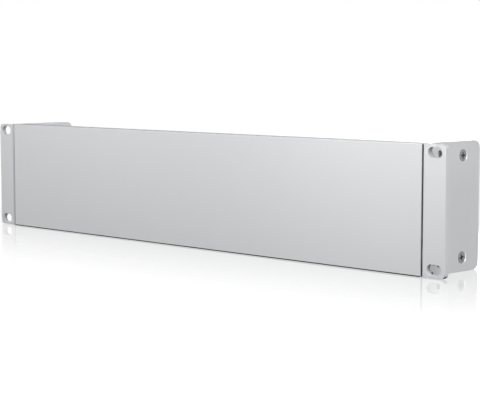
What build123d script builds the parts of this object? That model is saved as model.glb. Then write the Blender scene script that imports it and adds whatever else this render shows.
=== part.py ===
import os
from math import cos, radians, sqrt, tan

from build123d import *

# Blanking panel, two rack units high: a folded sheet pan carried by two L-shaped ear brackets.
# Sizes are in millimetres. X runs to the right, Y to the rear and Z up. The origin is the centre
# of the four slots, on the plane of the rack's rails, where the ears' rear faces bear.

# Rack pitch and hole pattern
rack_unit = 44.45
units_high = 2
height_clearance = 1.3
slot_spacing_x = 465.12
slot_to_rack_unit_edge = 6.35

# Slots in the ears
slot_length = 12.0
slot_height = 7.2
slot_to_ear_end = 8.74
slot_to_flange = 8.51

# Ear brackets: a thick ear in front and a thinner flange along the pan's side wall
ear_thickness = 4.0
ear_step = 0.4
ear_corner_radius = 3.0
flange_thickness = 2.5
flange_depth = 60.2
flange_corner_radius = 5.0
bracket_outside_radius = 3.6
bracket_inside_radius = 0.8
notch_setback = 0.9
notch_width = 5.8
notch_depth = 2.6
notch_corner_radius = 1.0

# Folded pan
sheet = 0.8
bend_inside_radius = 0.2
lip_depth = 8.0
side_wall_depth = 62.8
side_wall_corner_radius = 5.0
relief_setback = 7.4
relief_width = 4.6
relief_depth = 3.0
relief_inboard = 0.6
relief_corner_radius = 1.0

# Screws, their countersunk holes near the rear, and the plain spare holes behind the ears
screw_diameter = 4.0
thread_pitch = 0.7
screw_length = 6.0
screw_tip_chamfer = 0.5
screw_hole_clearance = 0.15
countersink_angle = 90.0
countersink_land = 0.2
seat_clearance = 0.03
head_recess = 0.3
thread_clearance = 0.02
screw_setback = 41.8
screw_to_edge_z = 9.5
spare_hole_setback = 16.4
spare_hole_to_edge_z = 7.4
burr_wall = 0.7
burr_height = 1.8
burr_root_chamfer = 0.3

# Cross recess in a screw's head
cross_width = 0.95
cross_span = 4.4
cross_depth = 1.6
cross_taper = 12.0

# Sizes that follow
panel_height = rack_unit * units_high - height_clearance
slot_spacing_z = rack_unit * units_high - 2 * slot_to_rack_unit_edge
ear_end_x = slot_spacing_x / 2 + slot_to_ear_end
flange_outer_x = slot_spacing_x / 2 - slot_to_flange
flange_inner_x = flange_outer_x - flange_thickness
wall_inner_x = flange_inner_x - sheet
panel_width = 2 * flange_inner_x
front_y = -ear_thickness
wall_rear_y = front_y + side_wall_depth
lip_rear_y = front_y + lip_depth
screw_row = (front_y + screw_setback, panel_height / 2 - screw_to_edge_z)
spare_row = (front_y + spare_hole_setback, panel_height / 2 - spare_hole_to_edge_z)
right_side = [1]
both_sides = [1, -1]
relief_y = front_y + relief_setback + relief_width / 2
notch_y = notch_setback + notch_width / 2

# A thread is a plain cylinder at its pitch diameter, in the screws and in the tapped collars
tapped_radius = screw_diameter / 2 - thread_pitch * 3 * sqrt(3) / 16
thread_radius = tapped_radius - thread_clearance
burr_radius = screw_diameter / 2 + burr_wall

# The countersink leaves a narrow land, and the head seats on its cone just under the surface
cone_slope = tan(radians(countersink_angle / 2))
screw_hole_radius = screw_diameter / 2 + screw_hole_clearance
countersink_radius = screw_hole_radius + (flange_thickness - countersink_land) * cone_slope
seat_step = seat_clearance / cos(radians(countersink_angle / 2))
head_radius = countersink_radius - head_recess * cone_slope - seat_step
neck_radius = screw_diameter / 2
head_height = (head_radius - neck_radius) / cone_slope


def hole_planes(x, rows, sides):
    """Planes at the screw holes, at a distance x from the middle and facing outward."""
    return [
        Plane(origin=(side * x, y, level * z), x_dir=(0, side, 0), z_dir=(side, 0, 0))
        for side in sides
        for y, z in rows
        for level in (1, -1)
    ]


# The pan starts as a shallow tray, with its bends and welded corners dressed to one radius
with BuildPart() as front_panel:
    with BuildSketch(Plane.XZ.offset(-front_y)):
        Rectangle(panel_width, panel_height)
    extrude(amount=-lip_depth)
    front_edges = front_panel.faces().sort_by(Axis.Y)[0].edges()
    corner_edges = front_panel.edges().filter_by(Axis.Y)
    fillet(front_edges + corner_edges, radius=sheet + bend_inside_radius)
    offset(amount=-sheet, openings=front_panel.faces().sort_by(Axis.Y)[-1])

    # The side walls carry on to the rear at full height
    with BuildSketch(Plane.XY.offset(-panel_height / 2)):
        for side in both_sides:
            with Locations((side * (flange_inner_x - sheet / 2), (lip_rear_y + wall_rear_y) / 2)):
                Rectangle(sheet, wall_rear_y - lip_rear_y)
    extrude(amount=panel_height)
    rear_corners = front_panel.faces().group_by(Axis.Y)[-1].edges().filter_by(Axis.X)
    fillet(rear_corners, radius=side_wall_corner_radius)

    # A relief frees each lip from the side wall behind it
    for side in both_sides:
        with BuildSketch(Plane.YZ.offset(side * flange_inner_x)):
            with Locations((relief_y, panel_height / 2), (relief_y, -panel_height / 2)):
                RectangleRounded(relief_width, 2 * relief_depth, relief_corner_radius)
        extrude(amount=-side * (sheet + relief_inboard), mode=Mode.SUBTRACT)

    # Drawn collars inside the side walls give the screws more thread than the sheet alone
    with BuildSketch(*hole_planes(wall_inner_x, [spare_row, screw_row], both_sides)):
        Circle(burr_radius)
    extrude(amount=-burr_height)
    collar_circles = front_panel.edges().filter_by(lambda edge: edge.is_closed)
    for side in both_sides:
        root_circles = collar_circles.filter_by_position(
            Axis.X, side * wall_inner_x, side * wall_inner_x
        )
        chamfer(root_circles, length=burr_root_chamfer)
    with Locations(*hole_planes(flange_inner_x, [spare_row, screw_row], both_sides)):
        Hole(tapped_radius, depth=sheet + burr_height)


# The right bracket is an L-shaped profile, as tall as the panel, that steps down at the ear
with BuildPart() as ear_bracket_right:
    with BuildSketch(Plane.XY.offset(-panel_height / 2)) as bracket_profile:
        with Locations((flange_inner_x, front_y)):
            Rectangle(ear_end_x - flange_inner_x, ear_thickness, align=(Align.MIN, Align.MIN))
            Rectangle(flange_thickness, flange_depth, align=(Align.MIN, Align.MIN))
        outside_corner = bracket_profile.vertices().sort_by_distance((flange_inner_x, front_y))[0]
        fillet(outside_corner, radius=bracket_outside_radius)
        inside_corner = bracket_profile.vertices().sort_by_distance((flange_outer_x, 0))[0]
        fillet(inside_corner, radius=bracket_inside_radius)
    extrude(amount=panel_height)

    # The ear ends a little short of the flange at the top and bottom
    with BuildSketch(Plane.XZ.offset(-front_y)):
        with Locations((flange_outer_x, panel_height / 2), (flange_outer_x, -panel_height / 2)):
            Rectangle(
                2 * (ear_end_x - flange_outer_x), 2 * ear_step, align=(Align.MIN, Align.CENTER)
            )
    extrude(amount=-(ear_thickness + bracket_inside_radius), mode=Mode.SUBTRACT)
    ear_corners = ear_bracket_right.faces().sort_by(Axis.X)[-1].edges().filter_by(Axis.Y)
    fillet(ear_corners, radius=ear_corner_radius)
    flange_corners = ear_bracket_right.faces().sort_by(Axis.Y)[-1].edges().filter_by(Axis.X)
    fillet(flange_corners, radius=flange_corner_radius)

    # Slots for the rack's screws
    with BuildSketch(Plane.XZ.offset(-front_y)):
        with Locations(
            (slot_spacing_x / 2, slot_spacing_z / 2), (slot_spacing_x / 2, -slot_spacing_z / 2)
        ):
            SlotOverall(slot_length, slot_height)
    extrude(amount=-ear_thickness, mode=Mode.SUBTRACT)

    # A notch in the flange's top and bottom edges, just behind the ear
    with BuildSketch(Plane.YZ.offset(flange_inner_x)):
        with Locations((notch_y, panel_height / 2), (notch_y, -panel_height / 2)):
            RectangleRounded(notch_width, 2 * notch_depth, notch_corner_radius)
    extrude(amount=flange_thickness, mode=Mode.SUBTRACT)

    # Countersunk screw holes and plain spare holes, over the pan's collars
    with Locations(*hole_planes(flange_outer_x, [spare_row], right_side)):
        Hole(screw_hole_radius, depth=flange_thickness)
    with Locations(*hole_planes(flange_outer_x, [screw_row], right_side)):
        CounterSinkHole(
            screw_hole_radius,
            countersink_radius,
            depth=flange_thickness,
            counter_sink_angle=countersink_angle,
        )

with BuildPart() as ear_bracket_left:
    mirror(ear_bracket_right.part, about=Plane.YZ)


# A countersunk screw with a cross recess, its head's top on the XY plane and its shank downward
with BuildPart() as screw:
    with BuildSketch(Plane.XZ):
        with BuildLine():
            Polyline(
                (0, 0),
                (head_radius, 0),
                (neck_radius, -head_height),
                (thread_radius, -head_height),
                (thread_radius, screw_tip_chamfer - screw_length),
                (thread_radius - screw_tip_chamfer, -screw_length),
                (0, -screw_length),
                close=True,
            )
        make_face()
    revolve(axis=Axis.Z)
    with BuildSketch():
        Rectangle(cross_span, cross_width)
        Rectangle(cross_width, cross_span)
    extrude(amount=-cross_depth, taper=cross_taper, mode=Mode.SUBTRACT)

# The countersunk holes hold screws, and the spare holes stay empty
with BuildPart() as bracket_screws:
    with Locations(*hole_planes(flange_outer_x - head_recess, [screw_row], both_sides)):
        add(screw.part)


front_panel.part.label = "front_panel"
ear_bracket_left.part.label = "ear_bracket_left"
ear_bracket_right.part.label = "ear_bracket_right"
bracket_screws.part.label = "bracket_screws"

os.makedirs("parts", exist_ok=True)
export_step(front_panel.part, "parts/front_panel.step")
export_step(ear_bracket_left.part, "parts/ear_bracket_left.step")
export_step(ear_bracket_right.part, "parts/ear_bracket_right.step")
export_step(bracket_screws.part, "parts/bracket_screws.step")
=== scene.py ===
import math

import bmesh
import bpy
from mathutils import Matrix, Vector


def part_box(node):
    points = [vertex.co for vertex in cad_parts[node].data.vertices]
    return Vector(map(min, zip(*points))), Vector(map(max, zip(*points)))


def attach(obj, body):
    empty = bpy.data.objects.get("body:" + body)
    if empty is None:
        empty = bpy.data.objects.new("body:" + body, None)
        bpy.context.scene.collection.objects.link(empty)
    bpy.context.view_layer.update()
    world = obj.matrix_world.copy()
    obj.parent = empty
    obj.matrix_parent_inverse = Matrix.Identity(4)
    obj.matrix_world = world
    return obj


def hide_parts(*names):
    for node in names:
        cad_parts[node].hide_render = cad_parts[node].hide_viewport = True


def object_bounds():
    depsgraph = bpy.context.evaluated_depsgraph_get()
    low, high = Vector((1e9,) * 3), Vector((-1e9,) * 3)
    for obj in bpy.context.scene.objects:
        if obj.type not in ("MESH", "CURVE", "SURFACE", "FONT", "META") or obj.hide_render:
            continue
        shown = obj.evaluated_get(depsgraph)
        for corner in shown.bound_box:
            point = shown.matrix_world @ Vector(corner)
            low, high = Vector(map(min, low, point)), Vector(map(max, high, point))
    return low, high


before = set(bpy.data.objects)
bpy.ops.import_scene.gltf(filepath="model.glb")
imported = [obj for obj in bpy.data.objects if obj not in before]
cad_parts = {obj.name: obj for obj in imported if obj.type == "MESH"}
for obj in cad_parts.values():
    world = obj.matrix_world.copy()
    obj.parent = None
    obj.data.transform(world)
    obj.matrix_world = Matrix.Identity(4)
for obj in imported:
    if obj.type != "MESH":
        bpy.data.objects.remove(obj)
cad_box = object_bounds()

# Everything is in metres, in the frame of the CAD model: X to the right, Y to the rear, Z up.
MM = 0.001

# Sizes of the pan and the brackets
FLOOR_Z = cad_box[0].z
HALF_WIDTH = cad_box[1].x
HALF_HEIGHT = cad_box[1].z
FRONT_Y = cad_box[0].y
REAR_Y = cad_box[1].y
JOINT_X = 221.55 * MM
LIP_REAR_Y = 4.0 * MM
BEND_RADIUS = 1.0 * MM
EAR_THICKNESS = 4.0 * MM
SPARE_HOLE_Y = 12.4 * MM
SPARE_HOLE_Z = 36.4 * MM
PAINTED_EDGE = 0.16 * MM

# Sizes of the upper right screw, whose head faces +X
SCREW_LOW, SCREW_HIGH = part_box("bracket_screws")
HEAD_TOP_X = SCREW_HIGH.x
HEAD_RADIUS = (SCREW_HIGH.y - SCREW_LOW.y) / 2
NECK_RADIUS = 2.0 * MM
HEAD_DEPTH = HEAD_RADIUS - NECK_RADIUS
HEAD_RIM = 0.22 * MM
SCREW_LENGTH = 6.0 * MM
SCREW_TIP_X = HEAD_TOP_X - SCREW_LENGTH
SCREW_Y = (SCREW_LOW.y + SCREW_HIGH.y) / 2
SCREW_Z = SCREW_HIGH.z - HEAD_RADIUS
SCREW_TOP = Vector((HEAD_TOP_X, SCREW_Y, SCREW_Z))
THREAD_PITCH = 0.7 * MM
THREAD_CREST = 1.97 * MM
THREAD_ROOT = 1.58 * MM
CROSS_HALF_WIDTH = 0.475 * MM
CROSS_HALF_SPAN = 2.2 * MM
WELD = 0.0005 * MM


# Finishes

class Wire:
    """A node's output that takes part in Python arithmetic. Each operator adds one Math node."""

    def __init__(self, finish, socket):
        self.finish = finish
        self.socket = socket

    def maths(self, operation, first, second):
        settings = {"operation": operation}
        return self.finish.node("ShaderNodeMath", settings, {0: first, 1: second})

    def __add__(self, other):
        return self.maths("ADD", self, other)

    def __radd__(self, other):
        return self.maths("ADD", other, self)

    def __sub__(self, other):
        return self.maths("SUBTRACT", self, other)

    def __rsub__(self, other):
        return self.maths("SUBTRACT", other, self)

    def __mul__(self, other):
        return self.maths("MULTIPLY", self, other)

    def __truediv__(self, other):
        return self.maths("DIVIDE", self, other)

    def __pow__(self, other):
        return self.maths("POWER", self, other)

    def larger(self, other):
        return self.maths("MAXIMUM", self, other)

    def smaller(self, other):
        return self.maths("MINIMUM", self, other)

    def size(self):
        return self.maths("ABSOLUTE", self, 0.0)


class Finish:
    """The node tree of one finish. Its node method adds any node."""

    def __init__(self, tree):
        self.tree = tree
        tree.nodes.clear()

    def node(self, kind, settings=None, inputs=None, output=0):
        added = self.tree.nodes.new(kind)
        for key, value in (settings or {}).items():
            setattr(added, key, value)
        for key, value in (inputs or {}).items():
            if isinstance(value, Wire):
                self.tree.links.new(value.socket, added.inputs[key])
            else:
                added.inputs[key].default_value = value
        return Wire(self, added.outputs[output]) if added.outputs else added

    def place(self):
        return self.node("ShaderNodeTexCoord", output="Object")

    def coordinates(self):
        """X, Y and Z of the point, as three wires."""
        split = self.node("ShaderNodeSeparateXYZ", {}, {0: self.place()})
        return [Wire(self, output) for output in split.socket.node.outputs]

    def ramp_up(self, value, start, length):
        """0 up to a start, and 1 from a length beyond it."""
        return ((value - start) / length).larger(0.0).smaller(1.0)

    def noise(self, grain_size, detail):
        """Noise whose patches are about grain_size metres across."""
        inputs = {"Vector": self.place(), "Scale": 1 / grain_size, "Detail": detail}
        return self.node("ShaderNodeTexNoise", {}, inputs)

    def bump(self, height, depth):
        return self.node("ShaderNodeBump", {}, {"Height": height, "Distance": depth})

    def tint(self, colour, shade):
        """A colour times a shade that varies over the surface."""
        settings = {"operation": "SCALE"}
        return self.node("ShaderNodeVectorMath", settings, {0: colour, "Scale": shade})

    def seen_rays(self):
        """1 for rays from the camera, from a glossy surface or through a clear one, and else 0."""
        eye = self.node("ShaderNodeLightPath", output="Is Camera Ray")
        gloss = self.node("ShaderNodeLightPath", output="Is Glossy Ray")
        through = self.node("ShaderNodeLightPath", output="Is Transmission Ray")
        return (eye + gloss + through).smaller(1.0)

    def surface(self, inputs):
        shader = self.node("ShaderNodeBsdfPrincipled", {}, inputs)
        self.node("ShaderNodeOutputMaterial", {}, {"Surface": shader})


def new_finish(name):
    material = bpy.data.materials.new(name)
    material.use_nodes = True
    return material, Finish(material.node_tree)


def silver_paint(name, roughness, grain_depth, joint_and_edge_shade):
    """Satin silver paint: fine metal flake, a low orange peel and faint unevenness of tone.

    The last argument gives two shares of painted shade, 0 to 1: darkened joints between parts, and
    darkened bends and corners that face away from the light.
    """
    material, finish = new_finish(name)
    joint_shade, dim = joint_and_edge_shade(finish)
    flake = finish.noise(0.16 * MM, detail=1.0)
    peel = finish.noise(0.9 * MM, detail=2.0)
    cloud = finish.noise(38 * MM, detail=2.0)
    # Painted shade: the first share darkens the joints beside the brackets, the second the bends
    # and corners that face away from the light.
    painted_shade = (1.0 - joint_shade * 0.8) * (1.0 - dim)
    shade = (1.0 + (flake - 0.5) * 0.07 + (cloud - 0.5) * 0.02) * painted_shade
    finish.surface({
        "Base Color": finish.tint((0.640, 0.650, 0.662), shade),
        "Roughness": roughness + (flake - 0.5) * 0.10 + (cloud - 0.5) * 0.03 + joint_shade * 0.4,
        "Metallic": 0.0,
        "Specular IOR Level": 0.08,
        "Normal": finish.bump(peel + flake * 0.25, grain_depth),
    })
    return material


def before_bend_ends(finish, y):
    """1 in the part of a joint that shows from the front, and 0 behind it."""
    return 1.0 - finish.ramp_up(y, 0.0, 0.6 * MM)


def pan_painted_shade(finish):
    """Painted shade: the joint beside a bracket is darkened, the outside of the bottom bend
    strongly, and the top bend a little.
    """
    x, y, z = finish.coordinates()
    beside = finish.ramp_up(x.size(), JOINT_X - 0.144 * MM, 0.12 * MM)
    lips = 1.0 - finish.ramp_up(y, LIP_REAR_Y, 0.4 * MM)
    bend_z = HALF_HEIGHT - BEND_RADIUS
    forward = (y - (FRONT_Y + BEND_RADIUS)).smaller(0.0)
    down = (z + bend_z).smaller(0.0)
    from_bend = (forward * forward + down * down) ** 0.5
    outside = finish.ramp_up(from_bend, 0.75 * BEND_RADIUS, 0.1 * MM)
    low = finish.ramp_up(0.0 - z, bend_z, 0.15 * MM) * outside
    high = finish.ramp_up(z, HALF_HEIGHT - 0.35 * MM, 0.2 * MM)
    return beside * before_bend_ends(finish, y), (low * 0.95 + high * 0.2) * lips


def bracket_painted_shade(finish):
    """Painted shade: the inner face and the deep part of the bend are darkened, and so is the
    underside of the ear's lower outer corner.
    """
    x, y, z = finish.coordinates()
    deep = 1.0 - finish.ramp_up(x.size(), JOINT_X + 0.168 * MM, 0.12 * MM)
    from_middle = (y - (FRONT_Y + EAR_THICKNESS / 2)).size()
    between_faces = finish.ramp_up(EAR_THICKNESS / 2 - 0.15 * MM - from_middle, 0.0, 0.1 * MM)
    below = finish.ramp_up(0.0 - z, HALF_HEIGHT - 2.5 * MM, 0.7 * MM)
    outer = finish.ramp_up(x.size(), HALF_WIDTH - 4.3 * MM, 0.5 * MM)
    return deep * before_bend_ends(finish, y), below * outer * between_faces * 0.85


def plated_steel(name, colour, roughness):
    """Plated steel of the screws, with light blotches and fine scratches."""
    material, finish = new_finish(name)
    blotch = finish.noise(1.2 * MM, detail=3.0)
    scratch = finish.noise(0.12 * MM, detail=2.0)
    finish.surface({
        "Base Color": finish.tint(colour, 0.86 + blotch * 0.28),
        "Metallic": 1.0,
        "Roughness": roughness + (blotch - 0.5) * 0.2,
        "Normal": finish.bump(scratch, 0.01 * MM),
    })
    return material


def cut_metal(name, colour, roughness):
    """Bare metal with the fine chatter that a drill, a tap or a punch leaves. Given a dark colour
    it is painted shade too: partly in the bores, wholly in a screw's cross.
    """
    material, finish = new_finish(name)
    chatter = finish.noise(0.25 * MM, detail=3.0)
    finish.surface({
        "Base Color": finish.tint(colour, 0.85 + chatter * 0.3),
        "Metallic": 1.0,
        "Roughness": roughness + (chatter - 0.5) * 0.2,
        "Normal": finish.bump(chatter, 0.02 * MM),
    })
    return material


# Both paints carry painted shade, in the shares that their last argument gives.
panel_paint = silver_paint("panel_paint", 0.52, 0.010 * MM, pan_painted_shade)
bracket_paint = silver_paint("bracket_paint", 0.54, 0.012 * MM, bracket_painted_shade)
screw_steel = plated_steel("screw_steel", (0.25, 0.255, 0.26), 0.34)
# Painted shade in part: the bores' steel is darker than cut steel, standing for the shade in the
# holes.
bore_steel_and_shade = cut_metal("bore_steel_and_shade", (0.26, 0.262, 0.265), 0.36)
bare_cone = cut_metal("bare_cone", (0.62, 0.625, 0.63), 0.36)
# Painted shade: the near-black finish in a screw's cross stands for the shade in the recess.
recess_shade = cut_metal("recess_shade", (0.03, 0.03, 0.03), 0.42)


# Modelling helpers

def select_only(piece):
    bpy.ops.object.select_all(action="DESELECT")
    piece.select_set(True)
    bpy.context.view_layer.objects.active = piece


def apply_modifier(piece, kind, **settings):
    select_only(piece)
    modifier = piece.modifiers.new(kind.lower(), kind)
    for key, value in settings.items():
        setattr(modifier, key, value)
    bpy.ops.object.modifier_apply(modifier=modifier.name)


def cut_with(piece, tool, operation):
    apply_modifier(piece, "BOOLEAN", object=tool, operation=operation, solver="EXACT")
    bpy.data.objects.remove(tool)


def pick_faces(piece, test):
    """In edit mode, selects the faces whose normal passes a test, and no others."""
    bpy.ops.mesh.select_mode(type="FACE")
    bpy.ops.mesh.select_all(action="DESELECT")
    mesh = bmesh.from_edit_mesh(piece.data)
    for face in mesh.faces:
        face.select_set(test(face.normal))
    bmesh.update_edit_mesh(piece.data)


def face_outward():
    bpy.ops.mesh.select_all(action="SELECT")
    bpy.ops.mesh.normals_make_consistent(inside=False)


def give_finish(piece, *materials):
    piece.data.materials.clear()
    for material in materials:
        piece.data.materials.append(material)


# Sheet parts with dressed edges

def off_hole(centre, rows):
    """How far a point is from the axis of the nearest hole in some rows of the side's holes."""
    return min(math.hypot(centre.y - y, abs(centre.z) - z) for y, z in rows)


def give_hole_finishes(piece):
    """The second finish, a dark steel that partly paints the shade in the holes, goes on the holes'
    bores, and the third on the countersinks' cones.
    """
    spare_row = (SPARE_HOLE_Y, SPARE_HOLE_Z)
    screw_row = (SCREW_Y, SCREW_Z)
    for face in piece.data.polygons:
        slope = abs(face.normal.x)
        if off_hole(face.center, (spare_row, screw_row)) < 2.3 * MM and slope < 0.3:
            face.material_index = 1
        elif off_hole(face.center, (screw_row,)) < 4.36 * MM and 0.6 < slope < 0.8:
            face.material_index = 2


def dressed_sheet(node, name, finish):
    """A copy of a CAD node whose sharp edges have the small radius that paint leaves on them."""
    piece = bpy.data.objects.new(name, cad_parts[node].data.copy())
    bpy.context.scene.collection.objects.link(piece)
    select_only(piece)
    bpy.ops.object.mode_set(mode="EDIT")
    bpy.ops.mesh.select_all(action="SELECT")
    bpy.ops.mesh.remove_doubles(threshold=0.002 * MM)
    bpy.ops.mesh.dissolve_limited(angle_limit=math.radians(0.6))
    bpy.ops.object.mode_set(mode="OBJECT")
    apply_modifier(
        piece,
        "BEVEL",
        width=PAINTED_EDGE,
        segments=2,
        limit_method="ANGLE",
        angle_limit=math.radians(40),
        use_clamp_overlap=False,
    )
    give_finish(piece, finish, bore_steel_and_shade, bare_cone)
    give_hole_finishes(piece)
    select_only(piece)
    bpy.ops.object.shade_smooth_by_angle(angle=math.radians(50))
    apply_modifier(piece, "WEIGHTED_NORMAL", weight=100, keep_sharp=True)
    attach(piece, "root")
    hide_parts(node)
    return piece


front_panel = dressed_sheet("front_panel", "folded_panel", panel_paint)
left_bracket = dressed_sheet("ear_bracket_left", "left_bracket", bracket_paint)
right_bracket = dressed_sheet("ear_bracket_right", "right_bracket", bracket_paint)


# Countersunk screws, modelled once at the upper right with the head's top facing +X

def drawn_line(name, points):
    """A small plane merged to one vertex, which is then extruded from point to point."""
    bpy.ops.object.select_all(action="DESELECT")
    bpy.ops.mesh.primitive_plane_add(size=MM, location=(0, 0, 0))
    piece = bpy.context.object
    piece.name = name
    bpy.ops.object.mode_set(mode="EDIT")
    bpy.ops.mesh.select_mode(type="VERT")
    bpy.ops.mesh.select_all(action="SELECT")
    bpy.ops.mesh.merge(type="CENTER")
    bpy.ops.transform.translate(value=points[0])
    for start, end in zip(points, points[1:]):
        step = Vector(end) - Vector(start)
        bpy.ops.mesh.extrude_region_move(TRANSFORM_OT_translate={"value": step})
    bpy.ops.object.mode_set(mode="OBJECT")
    return piece


def turned(name, profile, steps):
    """A solid of revolution about +X through the upper right screw, from (depth, radius) points."""
    points = [(HEAD_TOP_X - depth, SCREW_Y, SCREW_Z + radius) for depth, radius in profile]
    piece = drawn_line(name, points)
    bpy.ops.object.mode_set(mode="EDIT")
    bpy.ops.mesh.select_all(action="SELECT")
    bpy.ops.mesh.spin(steps=steps, angle=math.tau, center=SCREW_TOP, axis=(1, 0, 0))
    bpy.ops.mesh.select_all(action="SELECT")
    bpy.ops.mesh.remove_doubles(threshold=WELD)
    face_outward()
    bpy.ops.object.mode_set(mode="OBJECT")
    return piece


def cross_cutter():
    """The driver's cross: four tapered wings round a core, cut into the head."""
    bpy.ops.object.select_all(action="DESELECT")
    bpy.ops.mesh.primitive_cube_add(size=2 * CROSS_HALF_WIDTH, location=SCREW_TOP)
    piece = bpy.context.object
    piece.name = "cross_cutter"
    bpy.ops.object.transform_apply(location=True, rotation=True, scale=True)
    bpy.ops.object.mode_set(mode="EDIT")
    pick_faces(piece, lambda normal: abs(normal.x) < 0.5)
    bpy.ops.mesh.extrude_faces_move(
        TRANSFORM_OT_shrink_fatten={"value": CROSS_HALF_SPAN - CROSS_HALF_WIDTH}
    )
    # The bottom faces go deeper in two steps, each narrower than the last
    pick_faces(piece, lambda normal: normal.x < -0.5)
    for deeper, taper in ((0.55 * MM, 0.78), (0.75 * MM, 0.52)):
        bpy.ops.mesh.extrude_region_move(TRANSFORM_OT_translate={"value": (-deeper, 0, 0)})
        bpy.ops.transform.resize(value=(1, taper, taper), center_override=SCREW_TOP)
    face_outward()
    bpy.ops.object.mode_set(mode="OBJECT")
    return piece


def screw_head():
    piece = turned(
        "screw_head",
        [
            (0.06 * MM, 0.0),
            (0.0, 2.9 * MM),
            (0.02 * MM, HEAD_RADIUS - 0.16 * MM),
            (0.09 * MM, HEAD_RADIUS - 0.03 * MM),
            (HEAD_RIM, HEAD_RADIUS - 0.02 * MM),
            (HEAD_DEPTH, NECK_RADIUS),
            (HEAD_DEPTH + 0.25 * MM, 1.72 * MM),
            (HEAD_DEPTH + 0.25 * MM, 0.0),
        ],
        steps=48,
    )
    cut_with(piece, cross_cutter(), "DIFFERENCE")
    return piece


def screw_thread():
    """The thread, wound by a Screw modifier and then cut square at the neck and at the tip."""
    start = HEAD_DEPTH - 2.3 * THREAD_PITCH
    turns = math.ceil((SCREW_LENGTH - start) / THREAD_PITCH) + 1
    profile = [
        (0.0, THREAD_ROOT),
        (0.10 * MM, THREAD_ROOT),
        (0.31 * MM, THREAD_CREST),
        (0.40 * MM, THREAD_CREST),
        (0.61 * MM, THREAD_ROOT),
        (THREAD_PITCH, THREAD_ROOT),
    ]
    piece = drawn_line("screw_thread", [(radius, 0, -depth) for depth, radius in profile])
    apply_modifier(
        piece,
        "SCREW",
        axis="Z",
        angle=-math.tau,
        screw_offset=-THREAD_PITCH,
        iterations=turns,
        steps=28,
        render_steps=28,
    )
    # The winding runs along Z, and is then laid along the screw's own line and welded
    piece.data.transform(Matrix.Rotation(math.pi / 2, 4, "Y"))
    piece.data.transform(Matrix.Translation((HEAD_TOP_X - start, SCREW_Y, SCREW_Z)))
    bpy.ops.object.mode_set(mode="EDIT")
    bpy.ops.mesh.select_all(action="SELECT")
    bpy.ops.mesh.remove_doubles(threshold=WELD)
    for plane_x, clear_inner in ((HEAD_TOP_X - HEAD_DEPTH, False), (SCREW_TIP_X, True)):
        bpy.ops.mesh.select_all(action="SELECT")
        bpy.ops.mesh.bisect(
            plane_co=(plane_x, SCREW_Y, SCREW_Z),
            plane_no=(1, 0, 0),
            use_fill=True,
            clear_inner=clear_inner,
            clear_outer=not clear_inner,
            threshold=0.0001 * MM,
        )
    face_outward()
    bpy.ops.object.mode_set(mode="OBJECT")
    tip = turned(
        "tip_turning",
        [
            (HEAD_DEPTH - 0.1 * MM, 0.0),
            (HEAD_DEPTH - 0.1 * MM, 2.2 * MM),
            (SCREW_LENGTH - 0.55 * MM, 2.2 * MM),
            (SCREW_LENGTH, 1.45 * MM),
            (SCREW_LENGTH, 0.0),
        ],
        steps=28,
    )
    cut_with(piece, tip, "INTERSECT")
    return piece


def complete_screw():
    """The head and the thread in one piece, with a near-black finish in the cross as painted shade.
    """
    head = screw_head()
    thread = screw_thread()
    select_only(head)
    thread.select_set(True)
    bpy.ops.object.join()
    head.name = "screw_upper_right"
    give_finish(head, screw_steel, recess_shade)
    for face in head.data.polygons:
        depth = HEAD_TOP_X - face.center.x
        off_axis = math.hypot(face.center.y - SCREW_Y, face.center.z - SCREW_Z)
        if 0.08 * MM < depth < 1.75 * MM and off_axis < 2.35 * MM:
            face.material_index = 1
    select_only(head)
    bpy.ops.object.shade_smooth_by_angle(angle=math.radians(32))
    return head


def screw_copy(model, name, side, level, turn):
    """A copy of the upper right screw at another hole, turned about its own line by turn."""
    piece = bpy.data.objects.new(name, model.data.copy())
    bpy.context.scene.collection.objects.link(piece)
    centre = Matrix.Translation((0, SCREW_Y, SCREW_Z))
    spun = centre @ Matrix.Rotation(math.radians(turn), 4, "X") @ centre.inverted()
    piece.data.transform(spun)
    if side < 0:
        about = Matrix.Translation((0, SCREW_Y, 0))
        piece.data.transform(about @ Matrix.Rotation(math.pi, 4, "Z") @ about.inverted())
    if level < 0:
        piece.data.transform(Matrix.Translation((0, 0, -2 * SCREW_Z)))
    return piece


model_screw = complete_screw()
screws = [
    screw_copy(model_screw, "screw_right_upper", 1, 1, 4),
    screw_copy(model_screw, "screw_right_lower", 1, -1, 15),
    screw_copy(model_screw, "screw_left_upper", -1, 1, 38),
    screw_copy(model_screw, "screw_left_lower", -1, -1, 71),
]
bpy.data.objects.remove(model_screw)
for screw in screws:
    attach(screw, "root")
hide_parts("bracket_screws")


# Floor, surroundings and lamps

FLOOR_SIZE = 12.0
REFLECTION_REACH = 0.19


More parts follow.
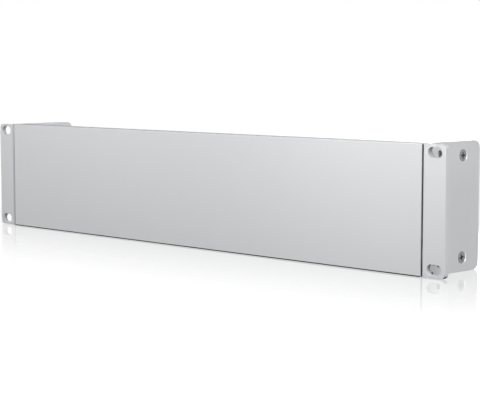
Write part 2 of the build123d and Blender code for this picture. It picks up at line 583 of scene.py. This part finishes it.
def pale_floor():
    """White to the camera, with the object's soft shadow, a painted shade that dims the white a
    little near the object, and a reflection that fades away.
    """
    bpy.ops.object.select_all(action="DESELECT")
    bpy.ops.mesh.primitive_plane_add(size=FLOOR_SIZE, location=(0, 0, FLOOR_Z))
    floor = bpy.context.object
    floor.name = "floor"
    material, finish = new_finish("pale_floor")
    x, y = finish.coordinates()[:2]
    past_end = (x.size() - HALF_WIDTH).larger(0.0)
    middle = (FRONT_Y + REAR_Y) / 2
    past_side = ((y - middle).size() - (REAR_Y - FRONT_Y) / 2).larger(0.0)
    distance = (past_end * past_end + past_side * past_side) ** 0.5
    fade = (1.0 - distance / REFLECTION_REACH).larger(0.0)
    # Painted shade: the glow is dimmed by up to a tenth near the object.
    glow_inputs = {"Color": (1, 1, 1, 1), "Strength": 1.0 - fade * 0.1}
    mirror_inputs = {"Color": (1, 1, 1, 1), "Roughness": 0.02}
    lit = finish.node("ShaderNodeBsdfDiffuse", {}, {"Color": (0.10, 0.10, 0.10, 1)})
    glow = finish.node("ShaderNodeEmission", {}, glow_inputs)
    white = finish.node("ShaderNodeAddShader", {}, {0: lit, 1: glow})
    mirror = finish.node("ShaderNodeBsdfGlossy", {}, mirror_inputs)
    seen = finish.node("ShaderNodeMixShader", {}, {0: fade * 0.38, 1: white, 2: mirror})
    dim = finish.node("ShaderNodeBsdfDiffuse", {}, {"Color": (0.06, 0.06, 0.06, 1)})
    shaders = {0: finish.seen_rays(), 1: dim, 2: seen}
    mixed = finish.node("ShaderNodeMixShader", {}, shaders)
    finish.node("ShaderNodeOutputMaterial", {}, {"Surface": mixed})
    give_finish(floor, material)


def white_surroundings(strength):
    """White to the camera and in reflections, and a weak even light on everything else."""
    world = bpy.data.worlds.new("surroundings")
    bpy.context.scene.world = world
    # Only rays that leave a surface sample it, so that a reflection keeps the full white
    world.cycles.sampling_method = "NONE"
    world.use_nodes = True
    finish = Finish(world.node_tree)
    level = strength + finish.seen_rays() * (1.0 - strength)
    white = {"Color": (1, 1, 1, 1), "Strength": level}
    glow = finish.node("ShaderNodeBackground", {}, white)
    finish.node("ShaderNodeOutputWorld", {}, {"Surface": glow})


def softbox(name, place, aim, width, height, power):
    lamp = bpy.data.lights.new(name, "AREA")
    lamp.shape = "RECTANGLE"
    lamp.size = width
    lamp.size_y = height
    lamp.energy = power
    holder = bpy.data.objects.new(name, lamp)
    bpy.context.scene.collection.objects.link(holder)
    holder.location = place
    toward = Vector(aim) - Vector(place)
    holder.rotation_euler = toward.to_track_quat("-Z", "Y").to_euler()
    holder.visible_camera = False


# Each lamp's name, place, aim, width, height and power. The strips grade the face from top to foot.
LAMPS = [
    ("left_softbox", (-1.20, -0.80, 0.10), (-0.10, 0.0, 0.0), 0.7, 0.4, 12.2),
    ("side_softbox", (3.00, -0.20, 0.60), (0.0, 0.02, 0.0), 1.2, 1.0, 42.5),
    ("key_softbox", (1.15, -0.65, 0.85), (0.16, 0.0, 0.0), 0.5, 0.5, 7.6),
    ("left_strip", (-0.12, -0.16, 0.12), (-0.12, 0.0, 0.02), 0.36, 0.05, 0.163),
    ("middle_strip", (0.10, -0.16, 0.12), (0.10, 0.0, 0.02), 0.30, 0.05, 0.158),
    ("right_strip", (0.25, -0.16, 0.12), (0.25, 0.0, 0.02), 0.14, 0.05, 0.227),
    ("rear_softbox", (-0.30, 1.60, 0.14), (0.0, 0.03, 0.0), 1.2, 0.5, 21.0),
]

pale_floor()
white_surroundings(0.04)
for lamp in LAMPS:
    softbox(*lamp)


# Camera, at the photograph's place

CAMERA_PLACE = (0.81333, -0.75750, 0.09438)
CAMERA_DOWN = math.radians(5.641)
CAMERA_HEADING = math.radians(45.195)

camera = bpy.data.objects.new("camera", bpy.data.cameras.new("camera"))
bpy.context.scene.collection.objects.link(camera)
camera.location = CAMERA_PLACE
camera.rotation_euler = (math.radians(90) - CAMERA_DOWN, 0, CAMERA_HEADING)
camera.data.sensor_width = 36
camera.data.lens = 110.2
camera.data.clip_start = 0.01
bpy.context.scene.camera = camera
bpy.context.scene.view_settings.view_transform = "Standard"
# The light tree underrates a lamp that is much nearer than the others, such as the strips
bpy.context.scene.cycles.use_light_tree = False
